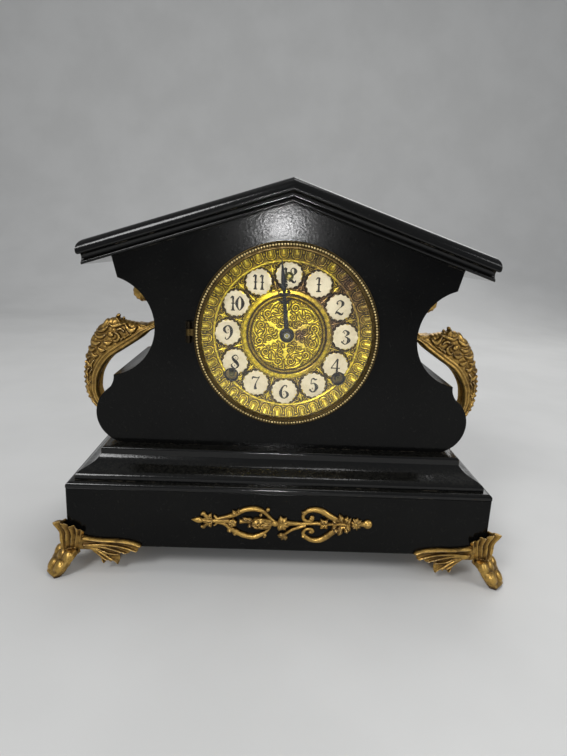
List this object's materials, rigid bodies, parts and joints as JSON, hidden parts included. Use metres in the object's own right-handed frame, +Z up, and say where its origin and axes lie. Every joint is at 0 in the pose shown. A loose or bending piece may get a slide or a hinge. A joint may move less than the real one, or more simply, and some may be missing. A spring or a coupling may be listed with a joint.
{
  "type": "mantel clock",
  "caption": "Black enamelled wooden mantel clock with a pediment roof, cast gilt feet and side handles, a hinged glazed bezel over a stamped brass dial, and a spring-driven striking movement.",
  "frame": {"origin": "centre of the footprint on the floor, under the toes of the feet", "axes": "+Z up, -Y out of the dial towards the viewer, +X to the viewer's right"},
  "size_m": [0.3262, 0.1762, 0.276],
  "materials": {
    "black_enamelled_wood": "glossy black enamel, dusty and lightly scratched",
    "stained_wood": "dark stain, matt",
    "gilt_casting": "antique gilt with dark recesses",
    "brass": "aged brass",
    "stamped_dial": "stamped and tarnished",
    "cream_plate": "cream with black numerals",
    "black_hands": "black",
    "steel": "blued and worn",
    "glass": "clear",
    "iron": "black"
  },
  "bodies": {
    "case": {"plinth_front_rail": "black_enamelled_wood", "plinth_side_rails": "black_enamelled_wood", "base_moulding_front": "black_enamelled_wood", "base_moulding_sides": "black_enamelled_wood", "base_deck": "black_enamelled_wood", "front_panel": "black_enamelled_wood", "case_side_left": "black_enamelled_wood", "case_side_right": "black_enamelled_wood", "roof_beds": "black_enamelled_wood", "roof_board_left": "black_enamelled_wood", "roof_board_right": "black_enamelled_wood", "plinth_back_rail": "stained_wood", "corner_blocks": "stained_wood", "back_panel": "stained_wood", "base_ornament": "gilt_casting", "foot_back_left": "gilt_casting", "foot_back_right": "gilt_casting", "foot_front_left": "gilt_casting", "foot_front_right": "gilt_casting", "handle_left": "gilt_casting", "handle_right": "gilt_casting", "door_hinge_case": "brass", "case_screws": "steel", "dial_pan": "stamped_dial", "dial_centre": "brass", "numeral_plates": "cream_plate", "winding_bushes": "brass", "bezel_hinge": "brass", "movement_front_plate": "brass", "movement_back_plate": "brass", "plate_pillars": "brass", "mainsprings": "steel", "gong_coil": "steel", "gong_base": "iron"},
    "bezel": {"bezel_ring": "brass", "bezel_glass": "glass"},
    "rear_door": {"back_door": "stained_wood", "back_door_knob": "brass", "door_hinge_door": "brass"},
    "minute_group": {"cannon_pinion": "steel", "minute_hand": "black_hands", "hand_nut": "brass"},
    "minute_wheel_group": {"minute_wheel": "brass"},
    "hour_group": {"hour_wheel": "brass", "hour_hand": "black_hands"},
    "time_winder": {"time_winding_arbor": "steel"},
    "time_great": {"time_great_wheel": "brass"},
    "time_second": {"time_second_wheel": "brass"},
    "centre": {"centre_arbor": "steel"},
    "time_third": {"time_third_wheel": "brass"},
    "escape": {"escape_wheel": "brass"},
    "verge_group": {"verge": "steel"},
    "pendulum_group": {"pendulum": "brass"},
    "strike_winder": {"strike_winding_arbor": "steel"},
    "strike_great": {"strike_great_wheel": "brass"},
    "strike_second": {"strike_second_wheel": "brass"},
    "strike_third": {"strike_third_wheel": "brass"},
    "fly": {"strike_fly": "brass"},
    "hammer_group": {"hammer": "steel"},
    "regulator": {"regulator_arbor": "brass"}
  },
  "joints": [
    {"name": "bezel_swing", "type": "hinge", "parent": "case", "child": "bezel", "pos_m": [-0.0687, -0.0482, 0.171], "axis": [0, 0, -1], "range_deg": [0, 110]},
    {"name": "back_door_swing", "type": "hinge", "parent": "case", "child": "rear_door", "pos_m": [0.0496, 0.0683, 0.1756], "axis": [0, 0, -1], "range_deg": [0, 110]},
    {"name": "minute_hand_turn", "type": "hinge", "parent": "case", "child": "minute_group", "pos_m": [0, 0, 0.171], "axis": [0, 1, 0], "continuous": true},
    {"name": "minute_wheel_turn", "type": "hinge", "parent": "case", "child": "minute_wheel_group", "pos_m": [0.006, 0, 0.16061], "axis": [0, 1, 0], "continuous": true},
    {"name": "hour_hand_turn", "type": "hinge", "parent": "case", "child": "hour_group", "pos_m": [0, 0, 0.171], "axis": [0, 1, 0], "continuous": true},
    {"name": "time_winding_turn", "type": "hinge", "parent": "case", "child": "time_winder", "pos_m": [0.0388, 0, 0.1403], "axis": [0, 1, 0], "continuous": true},
    {"name": "time_third_turn", "type": "hinge", "parent": "case", "child": "time_third", "pos_m": [0.01358, 0, 0.18799], "axis": [0, 1, 0], "continuous": true},
    {"name": "time_great_turn", "type": "hinge", "parent": "case", "child": "time_great", "pos_m": [0.0388, 0, 0.1403], "axis": [0, 1, 0], "continuous": true},
    {"name": "time_second_turn", "type": "hinge", "parent": "case", "child": "time_second", "pos_m": [0.01981, 0, 0.16033], "axis": [0, 1, 0], "continuous": true},
    {"name": "centre_turn", "type": "hinge", "parent": "case", "child": "centre", "pos_m": [0, 0, 0.171], "axis": [0, 1, 0], "continuous": true},
    {"name": "escape_turn", "type": "hinge", "parent": "case", "child": "escape", "pos_m": [0, 0, 0.204], "axis": [0, 1, 0], "continuous": true},
    {"name": "pendulum_swing", "type": "hinge", "parent": "case", "child": "pendulum_group", "pos_m": [0, 0, 0.22], "axis": [0, 1, 0], "range_deg": [-4, 4]},
    {"name": "verge_rock", "type": "hinge", "parent": "case", "child": "verge_group", "pos_m": [0, 0, 0.22], "axis": [0, 1, 0], "range_deg": [-4, 4]},
    {"name": "strike_winding_turn", "type": "hinge", "parent": "case", "child": "strike_winder", "pos_m": [-0.0388, 0, 0.1403], "axis": [0, 1, 0], "continuous": true},
    {"name": "strike_third_turn", "type": "hinge", "parent": "case", "child": "strike_third", "pos_m": [-0.0272, 0, 0.17619], "axis": [0, 1, 0], "continuous": true},
    {"name": "strike_great_turn", "type": "hinge", "parent": "case", "child": "strike_great", "pos_m": [-0.0388, 0, 0.1403], "axis": [0, 1, 0], "continuous": true},
    {"name": "strike_second_turn", "type": "hinge", "parent": "case", "child": "strike_second", "pos_m": [-0.01981, 0, 0.16033], "axis": [0, 1, 0], "continuous": true},
    {"name": "fly_turn", "type": "hinge", "parent": "case", "child": "fly", "pos_m": [-0.02425, 0, 0.19293], "axis": [0, 1, 0], "continuous": true},
    {"name": "hammer_lift", "type": "hinge", "parent": "case", "child": "hammer_group", "pos_m": [-0.048, 0, 0.169], "axis": [0, 1, 0], "range_deg": [0, 12]},
    {"name": "regulator_turn", "type": "hinge", "parent": "case", "child": "regulator", "pos_m": [0, 0, 0.212], "axis": [0, 1, 0], "continuous": true}
  ],
  "couplings": [
    {"joint": "minute_wheel_turn", "follows": "minute_hand_turn", "ratio": -0.33333},
    {"joint": "hour_hand_turn", "follows": "minute_hand_turn", "ratio": 0.083333},
    {"joint": "escape_turn", "follows": "time_third_turn", "ratio": -11},
    {"joint": "centre_turn", "follows": "time_third_turn", "ratio": -0.0875},
    {"joint": "time_second_turn", "follows": "time_third_turn", "ratio": 0.021875},
    {"joint": "time_great_turn", "follows": "time_third_turn", "ratio": -0.0032812},
    {"joint": "verge_rock", "follows": "pendulum_swing", "ratio": 1},
    {"joint": "fly_turn", "follows": "strike_third_turn", "ratio": -7.5},
    {"joint": "strike_second_turn", "follows": "strike_third_turn", "ratio": -0.16667},
    {"joint": "strike_great_turn", "follows": "strike_third_turn", "ratio": 0.025}
  ]
}
